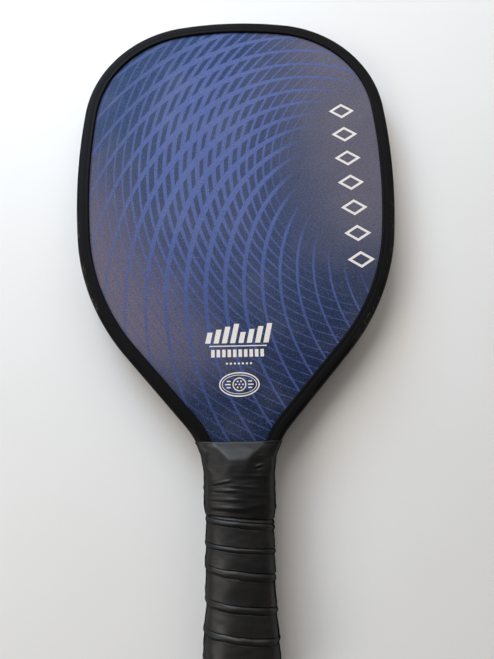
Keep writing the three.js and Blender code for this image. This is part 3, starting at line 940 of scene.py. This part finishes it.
def add_grip():
    rows, crests = wound_rows()
    lining = grip_lining()
    crests += [0] * len(lining)
    bm = bmesh.new()
    crest = bm.verts.layers.float.new("crest")
    made = add_grid(bm, rows + lining, close_rows=True)
    for row, level in zip(made, crests):
        for vert in row:
            vert[crest] = level
    bmesh.ops.remove_doubles(bm, verts=bm.verts, dist=MERGE_DISTANCE)
    bmesh.ops.dissolve_degenerate(bm, edges=bm.edges, dist=MERGE_DISTANCE)
    grip = finish_mesh("wound_grip", bm, grip_skin(), sharp_degrees=80)
    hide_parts("grip_wrap")
    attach(grip, "root")


# ---- The finishing tape ----

TAPE_INNER_REACH = 4.2
TAPE_OUTER_REACH = 4.35
TAPE_OVER_FOOT = 3.0


def add_finishing_tape():
    """The thin tape round the grip's top end, pressed down with it under the collar."""
    inner = soften(handle_contour(TAPE_INNER_REACH, GRIP_QUARTER), GRIP_SOFTNESS)
    outer = soften(handle_contour(TAPE_OUTER_REACH, GRIP_QUARTER), GRIP_SOFTNESS)
    heights = np.linspace(TAPE_LOW[1] + TAPE_OVER_FOOT, TAPE_HIGH[1], 16)
    rows = [placed(outer, y) for y in heights] + [placed(inner, y) for y in heights[::-1]]
    bm = bmesh.new()
    add_grid(bm, rows, close_rows=True, close_columns=True)
    vinyl = moulded_plastic("finishing_tape", (24, 24, 26), (34, 34, 36))
    tape = finish_mesh("finishing_tape_band", bm, vinyl)
    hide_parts("grip_finishing_tape")
    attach(tape, "root")


# ---- The collar ----

COLLAR_QUARTER = 56
COLLAR_ROW = 0.4
COLLAR_FIT = 0.12
COLLAR_WALL = 1.0
COLLAR_TOP_WALL = 0.5
LINING_ROW_STEP = 5
TIE = 1e-6

# Its foot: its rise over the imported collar's foot, its slant and nib, and how far it is drawn in.
FOOT_RISE = 0.6
FOOT_SLANT = 0.088
FOOT_NIB = 1.0
FOOT_TUCK = 0.75
FOOT_EDGE_TUCK = 0.35
LINING_TUCK = 0.95

# Its roundness over the grip and over the creases of the facet above.
COLLAR_SOFTNESS = 5.2
CREASE_SOFTNESS = 0.55

# Where it leaves the grip, the facet of the pallets' sloping ends, and its reach and bead at the top.
COLLAR_LEAVES_GRIP_Y = 104.0
FACET_FOOT_Y = 109.0
FACET_FOOT_Z = 15.2
FACET_SLOPE = 0.52
COLLAR_TOP_REACH = 3.2
TOP_BEAD = 0.20

# Folds pushed up in it: (distance round from the front's middle, height, half length, half width, rise per
# length, stand).
COLLAR_FOLDS = [
    (-10, 98.4, 6, 0.72, 0.16, 0.48),
    (-8, 94.4, 8, 0.80, -0.03, 0.416),
    (2, 96.2, 8, 0.64, -0.08, 0.256),
    (-9, 90.0, 10, 0.88, -0.05, 0.416),
    (-7, 85.6, 11, 0.96, -0.06, 0.48),
    (13, 91.5, 9, 0.80, -0.10, 0.224),
    (12, 86.5, 8, 0.96, 0.04, 0.192),
    (6, 101.4, 10, 0.80, -0.03, 0.192),
    (11.5, 106.6, 2.0, 0.56, 0.25, 0.448),
    (-34, 95.0, 10, 0.96, 0.05, 0.384),
    (-44, 88.0, 12, 1.04, -0.04, 0.384),
    (38, 97.0, 11, 0.88, 0.06, 0.352),
    (50, 90.0, 12, 0.96, 0.03, 0.352),
    (34, 84.6, 9, 0.96, -0.05, 0.32),
]


def grown(corners, reach):
    return support_contour(corners, reach, COLLAR_QUARTER)


def guard_corners(y):
    """Points round the outer corner of the guard's section at a height, in one quarter."""
    width = throat_half_width(y)
    low = GUARD_Z - GUARD_ROUND_DEEP
    angles = np.linspace(0, math.pi / 2, 7)
    across = width - GUARD_ROUND_IN * (1 - np.cos(angles))
    return np.column_stack([across, low + GUARD_ROUND_DEEP * np.sin(angles)])


def collar_quarter(y, wall):
    """A quarter of the collar's section at a height.

    Over the grip it follows the grip. Above, it closes in on the pallets, is cut by their facet, and runs out
    at its sides to cover the guard's ends.
    """
    on_grip = GRIP_OUTER_REACH + COLLAR_FIT
    if y <= COLLAR_LEAVES_GRIP_Y:
        return grown(HANDLE_CORNERS, on_grip + wall)
    share = (y - COLLAR_LEAVES_GRIP_Y) / (COLLAR_HIGH[1] - COLLAR_LEAVES_GRIP_Y)
    reach = on_grip * (1 - share) + COLLAR_TOP_REACH * share + wall
    pallets = grown(HANDLE_CORNERS, reach)
    level = FACET_FOOT_Z - FACET_SLOPE * (y - FACET_FOOT_Y) + wall
    pallets[:, 1] = np.minimum(pallets[:, 1], level)
    guard = grown(guard_corners(max(y, GUARD_END_Y)), COLLAR_FIT + wall)
    grip_side = HANDLE_SIDE[0] + on_grip + wall
    bridged = blend(GUARD_END_Y, COLLAR_LEAVES_GRIP_Y - 2, y)
    guard[:, 0] += (grip_side - guard[0, 0]) * bridged
    return support_contour(np.vstack([pallets, guard]), 0.02, COLLAR_QUARTER)


def smooth_rows(rows, radius):
    """Evens rows out along the collar, as stretched rubber does, without moving the first and last."""
    rows = np.array(rows)
    for _ in range(round(2 * (radius / COLLAR_ROW) ** 2)):
        rows[1:-1] = rows[1:-1] * 0.5 + (rows[:-2] + rows[2:]) * 0.25
    return rows


def around_distance(contour):
    """How far round from the front's middle each point of a contour is, positive by +X."""
    steps = np.linalg.norm(np.diff(once_round(contour), axis=0), axis=1)
    walked = np.concatenate([[0], np.cumsum(steps)[:-1]])
    whole = steps.sum()
    past_back = walked > whole / 2 + TIE
    return np.where(past_back, walked - whole, walked)


def fold_height(around, y):
    """How far the collar's folds stand up at a place. Below each crest is a dip."""
    stand = np.zeros_like(around)
    for middle, height, half_length, half_width, rise, fold_stand in COLLAR_FOLDS:
        along = around - middle
        across = y - height - rise * along
        crest = bump_at(across, 0, half_width)
        dip = bump_at(across, -2 * half_width, 1.25 * half_width)
        stand += fold_stand * np.exp(-((along / half_length) ** 4)) * (crest - 0.5 * dip)
    return stand


def foot_height(x):
    """The height of the collar's foot, which was cut a little aslant, with a nib on the left."""
    nib = FOOT_NIB * bump_at(x, -HANDLE_SIDE[0] - 4.5, 1.2)
    return COLLAR_LOW[1] + FOOT_RISE - FOOT_SLANT * x - nib


def collar_heights(contour, level):
    """The heights of one row of the collar, from the foot at level 0 to the top edge at level 1."""
    foot = foot_height(contour[:, 0])
    return foot + (COLLAR_HIGH[1] - foot) * level


def pressed_between_legs(contour, y):
    """The lining's contour, which the guard's legs hold off the film, pressed down on to it between them."""
    inner_edge = throat_half_width(y) - GUARD_BAND
    between = blend(inner_edge, inner_edge - 1.2, np.abs(contour[:, 0]))
    share = between * blend(GUARD_END_Y, PALLET_HIGH[1], y)
    on_film = np.sign(contour[:, 1]) * np.minimum(np.abs(contour[:, 1]), PANEL_Z + COLLAR_FIT)
    pressed = contour.copy()
    pressed[:, 1] += (on_film - contour[:, 1]) * share
    return pressed


def collar_sections(levels):
    """The collar's outer and lining contours at each level."""
    bottom, top = COLLAR_LOW[1], COLLAR_HIGH[1]
    outer = []
    linings = []
    for level in levels:
        y = bottom + (top - bottom) * level
        wall = COLLAR_TOP_WALL + (COLLAR_WALL - COLLAR_TOP_WALL) * blend(top, top - 4, y)
        creased = blend(COLLAR_LEAVES_GRIP_Y - 4, FACET_FOOT_Y - 1, y)
        radius = COLLAR_SOFTNESS + (CREASE_SOFTNESS - COLLAR_SOFTNESS) * creased
        outer.append(soften(whole_contour(collar_quarter(y, wall)), radius))
        lining = soften(whole_contour(collar_quarter(y, 0)), radius)
        linings.append(pressed_between_legs(lining, y))
    return smooth_rows(outer, 0.7), linings


def collar_stand(contour, y, level):
    """How far the collar's outside stands out from its smooth contour: folds, foot and top bead."""
    uneven = np.array([
        0.26 * rough(px, py * 1.3, pz, 9, 1.7) + 0.09 * rough(px * 0.7, py * 2.2, pz, 4.0, 4.4)
        for (px, pz), py in zip(contour, y)])
    folds = fold_height(around_distance(contour), y)
    stand = (folds + uneven) * blend(0, 0.04, level) * blend(1, 0.86, level)
    stand -= FOOT_TUCK * blend(0.14, 0.02, level) + FOOT_EDGE_TUCK * blend(0.015, 0, level)
    return stand + TOP_BEAD * bump_at(level, 0.99, 0.008)


def add_collar():
    levels = np.linspace(0, 1, round((COLLAR_HIGH[1] - COLLAR_LOW[1]) / COLLAR_ROW))
    outer, linings = collar_sections(levels)
    rows = []
    for level, contour in zip(levels, outer):
        y = collar_heights(contour, level)
        moved = contour + contour_normals(contour) * collar_stand(contour, y, level)[:, None]
        rows.append(placed(moved, y))
    downwards = list(zip(levels, linings))
    for level, lining in downwards[::-LINING_ROW_STEP] + downwards[:1]:
        tucked = lining - contour_normals(lining) * LINING_TUCK * blend(0.16, 0.04, level)
        rows.append(placed(tucked, collar_heights(lining, level)))
    bm = bmesh.new()
    add_grid(bm, rows, close_rows=True, close_columns=True)
    collar = finish_mesh("shrunk_collar", bm, collar_rubber(), sharp_degrees=60)
    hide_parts("throat_collar")
    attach(collar, "root")


# ---- The butt cap ----

CAP_QUARTER = 24
CAP_FIT = 0.1
LIP_ROUND = 1.4
LIP_HEIGHT = 6.0
LID_OVERLAP = 0.4
LID_THICKNESS = 1.2

# The end disc's outside, with its moulded ring: (inset from its edge, height).
DISC_PROFILE = [
    (0.0, 0.12), (0.12, 0.0), (2.4, 0.0), (2.7, 0.22), (3.3, 0.22), (3.6, 0.0), (9.0, 0.0), (14.0, 0.0)]


def add_lid(bm, contour, low_y, high_y):
    made = add_grid(bm, [placed(contour, low_y), placed(contour, high_y)], close_columns=True)
    bm.faces.new(made[0])
    bm.faces.new(made[1])


def cap_stations():
    """Up the outside of the cap's cup from its mouth and back: (reach, height)."""
    lip = reach_of(CAP_HIGH)
    inner = reach_of(DISC_HIGH) + CAP_FIT
    wall = inner + CAP_WALL
    stations = [(inner, 0.0)]
    for angle in np.linspace(0, math.pi / 2, 7):
        out = lip - LIP_ROUND + LIP_ROUND * math.sin(angle)
        stations.append((out, LIP_ROUND - LIP_ROUND * math.cos(angle)))
    for angle in np.linspace(0, math.pi / 2, 7):
        out = lip - LIP_ROUND * (1 - math.cos(angle))
        stations.append((out, LIP_HEIGHT - LIP_ROUND * (1 - math.sin(angle))))
    return stations + [(wall, LIP_HEIGHT), (wall, CAP_HIGH[1]), (inner, CAP_HIGH[1])]


def add_butt_cap(plastic):
    """The cap's cup with a rounded lip, and the floor across it."""
    bm = bmesh.new()
    rows = [placed(handle_contour(reach, CAP_QUARTER), y) for reach, y in cap_stations()]
    add_grid(bm, rows, close_rows=True, close_columns=True)
    floor_y = DISC_HIGH[1] + CAP_FIT
    floor = handle_contour(reach_of(DISC_HIGH) + CAP_FIT + LID_OVERLAP, CAP_QUARTER)
    add_lid(bm, floor, floor_y, floor_y + LID_THICKNESS)
    cap = finish_mesh("butt_cap_shell", bm, plastic, sharp_degrees=50)
    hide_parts("butt_cap")
    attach(cap, "root")


def add_end_disc(plastic):
    """The disc that closes the butt end, with a shallow moulded ring."""
    bm = bmesh.new()
    full = handle_contour(reach_of(DISC_HIGH), CAP_QUARTER)
    half_width = full[:, 0].max()
    rows = [placed(full, DISC_HIGH[1])]
    rows += [placed(full * (1 - inset / half_width), y) for inset, y in DISC_PROFILE]
    made = add_grid(bm, rows, close_columns=True)
    bm.faces.new(made[0])
    bm.faces.new(made[-1])
    disc = finish_mesh("butt_disc_plate", bm, plastic, sharp_degrees=35)
    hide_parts("butt_end_disc")
    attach(disc, "root")


# ---- Printed marks ----

INK_THICKNESS = 0.03
INK_GAP = 0.012


def oval(middle, half_x, half_y, steps):
    """Points round an oval, which with four steps is a diamond."""
    angles = np.linspace(0, 2 * math.pi, steps, endpoint=False)
    return np.column_stack([middle[0] + half_x * np.cos(angles), middle[1] + half_y * np.sin(angles)])


class Ink:
    """Flat printed shapes on one face, each a thin closed solid."""

    def __init__(self, facing):
        self.bm = bmesh.new()
        self.facing = facing

    def row(self, points, lift):
        z = (PANEL_Z + INK_GAP + lift) * self.facing
        return [(x * self.facing, y, z) for x, y in points]

    def shape(self, points):
        rows = [self.row(points, 0), self.row(points, INK_THICKNESS)]
        for row in add_grid(self.bm, rows, close_columns=True):
            self.bm.faces.new(row)

    def band(self, outer, inner):
        """A closed line between two outlines that have as many points."""
        walls = ((outer, 0), (outer, INK_THICKNESS), (inner, INK_THICKNESS), (inner, 0))
        add_grid(self.bm, [self.row(*wall) for wall in walls], close_rows=True, close_columns=True)

    def ring(self, middle, half_x, half_y, stroke, steps=64):
        self.band(
            oval(middle, half_x, half_y, steps), oval(middle, half_x - stroke, half_y - stroke, steps))

    def diamond(self, middle, half, stroke):
        shrink = 1 - stroke * math.hypot(*half) / (half[0] * half[1])
        self.band(*[oval(middle, half[0] * scale, half[1] * scale, 4) for scale in (1, shrink)])

    def dot(self, middle, radius, steps=20):
        self.shape(oval(middle, radius, radius, steps))

    def line(self, points, width):
        """A line of even width with square ends along a bent path."""
        points = np.array(points, float)
        left, right = [], []
        for k, point in enumerate(points):
            before = points[k] - points[k - 1] if k else points[1] - points[0]
            after = points[k + 1] - points[k] if k + 1 < len(points) else before
            before = before / np.linalg.norm(before)
            after = after / np.linalg.norm(after)
            side = np.array([-(before + after)[1], (before + after)[0]])
            side /= np.linalg.norm(side)
            mitre = width / 2 / (side @ np.array([-before[1], before[0]]))
            left.append(point + side * mitre)
            right.append(point - side * mitre)
        self.shape(left + right[::-1])


# The upright row of outlined diamonds on the right of the face.
DIAMONDS = 7
DIAMOND_TOP = (70.0, TOP_Y - 72)
DIAMOND_STEP = (0.9, -17.2)
DIAMOND_HALF = (8.2, 5.4)
DIAMOND_STROKE = 1.5

# The badge low on the face: slanted bars, a rule, a row of dashes and a row of dots.
BARS = 8
BAR_X = (-18.5, 20.0)
BAR_Y = TOP_Y - 225
BAR_FILL = 0.62
BAR_HEIGHTS = (6.5, 11.5)
BAR_SLANT = 0.22
RULE_X = (-16.0, 17.0)
RULE_Y = TOP_Y - 227
RULE_WIDTH = 0.6
DASHES = 10
DASH_X = -15.0
DASH_Y = TOP_Y - 233.2
DASH_STEP = 3.15
DASH_SIZE = (2.0, 4.4)
DOTS = 7
DOT_X = -6.0
DOT_Y = TOP_Y - 237
DOT_STEP = 2.3
DOT_RADIUS = 0.6

# The oval below it: rings (half width, half height, stroke), a ball with holes, and lines at its sides.
OVAL = (1.0, TOP_Y - 249)
OVAL_RINGS = [(11.5, 7.0, 0.7), (9.9, 5.5, 0.35), (3.9, 3.9, 0.6)]
HOLES = 6
HOLE_CIRCLE = 2.0
HOLE_RADIUS = 0.5
LINE_START = 5.0
LINE_LENGTHS = {-1: 2.2, 0: 3.0, 1: 2.2}
LINE_STEP = 1.8
LINE_STROKE = 0.7


def draw_box(ink, low, size, lean=0.0):
    left, right = low[0], low[0] + size[0]
    top = low[1] + size[1]
    ink.shape([low, (right, low[1]), (right + lean, top), (left + lean, top)])


def draw_diamonds(ink):
    for k in range(DIAMONDS):
        middle = [top + k * step for top, step in zip(DIAMOND_TOP, DIAMOND_STEP)]
        ink.diamond(middle, DIAMOND_HALF, DIAMOND_STROKE)


def draw_badge(ink):
    step = (BAR_X[1] - BAR_X[0]) / BARS
    width = step * BAR_FILL
    for k in range(BARS):
        low = BAR_X[0] + k * step
        tall = BAR_HEIGHTS[0] + (BAR_HEIGHTS[1] - BAR_HEIGHTS[0]) * (k % 4) / 3
        lean = tall * BAR_SLANT
        draw_box(ink, (low, BAR_Y), (width, tall), lean)
    draw_box(ink, (RULE_X[0], RULE_Y), (RULE_X[1] - RULE_X[0], RULE_WIDTH))
    for k in range(DASHES):
        draw_box(ink, (DASH_X + k * DASH_STEP, DASH_Y), DASH_SIZE)
    for k in range(DOTS):
        ink.dot((DOT_X + k * DOT_STEP, DOT_Y), DOT_RADIUS)


def draw_oval(ink):
    for half_x, half_y, stroke in OVAL_RINGS:
        ink.ring(OVAL, half_x, half_y, stroke)
    for hole in [*oval(OVAL, HOLE_CIRCLE, HOLE_CIRCLE, HOLES), OVAL]:
        ink.dot(hole, HOLE_RADIUS, steps=12)
    for side in (-1, 1):
        start = OVAL[0] + side * LINE_START
        for row, length in LINE_LENGTHS.items():
            y = OVAL[1] + row * LINE_STEP
            ink.line([(start, y), (start + side * length, y)], LINE_STROKE)


def add_marks(facing, name, material):
    ink = Ink(facing)
    draw_diamonds(ink)
    draw_badge(ink)
    draw_oval(ink)
    marks = finish_mesh(name, ink.bm, material, sharp_degrees=30)
    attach(marks, "root")


# ---- The rest of the CAD pieces ----

def repaint(node, material):
    """Gives a CAD node that keeps its own shape a better material."""
    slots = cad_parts[node].data.materials
    slots.clear()
    slots.append(material)


def paint_cad_nodes():
    scrim = woven("bonding_scrim", (196, 193, 182), (224, 221, 212), 1.2)
    sheet = woven("face_sheet_fibres", (30, 32, 35), (54, 57, 61), 2.4)
    tape = woven("adhesive_tape", (206, 200, 180), (232, 228, 212), 0.9)
    steel = drawn_steel()
    repaint("core_panel", honeycomb_core())
    layers = [
        ("core_scrim", scrim), ("face_sheet", sheet), ("handle_pallet", foam()), ("pallet_tape", tape),
        ("staple_left", steel), ("staple_right", steel)]
    for side, facing in (("front", 1), ("back", -1)):
        repaint(side + "_graphic_film", printed_film(side + "_print", facing))
        for layer, material in layers:
            repaint(side + "_" + layer, material)
    repaint("edge_guard_tape", tape)
    repaint("grip_adhesive", tape)


# ---- The scene ----

bpy.context.scene.view_settings.view_transform = "Standard"
add_camera()
add_light()
add_table()
paint_cad_nodes()
add_edge_guard()
add_collar()
add_grip()
add_finishing_tape()
cap_plastic = moulded_plastic("cap_plastic", (20, 20, 21), (27, 27, 29))
add_butt_cap(cap_plastic)
add_end_disc(cap_plastic)
ink_white = white_ink()
add_marks(1, "front_marks", ink_white)
add_marks(-1, "back_marks", ink_white)

bpy.context.view_layer.update()
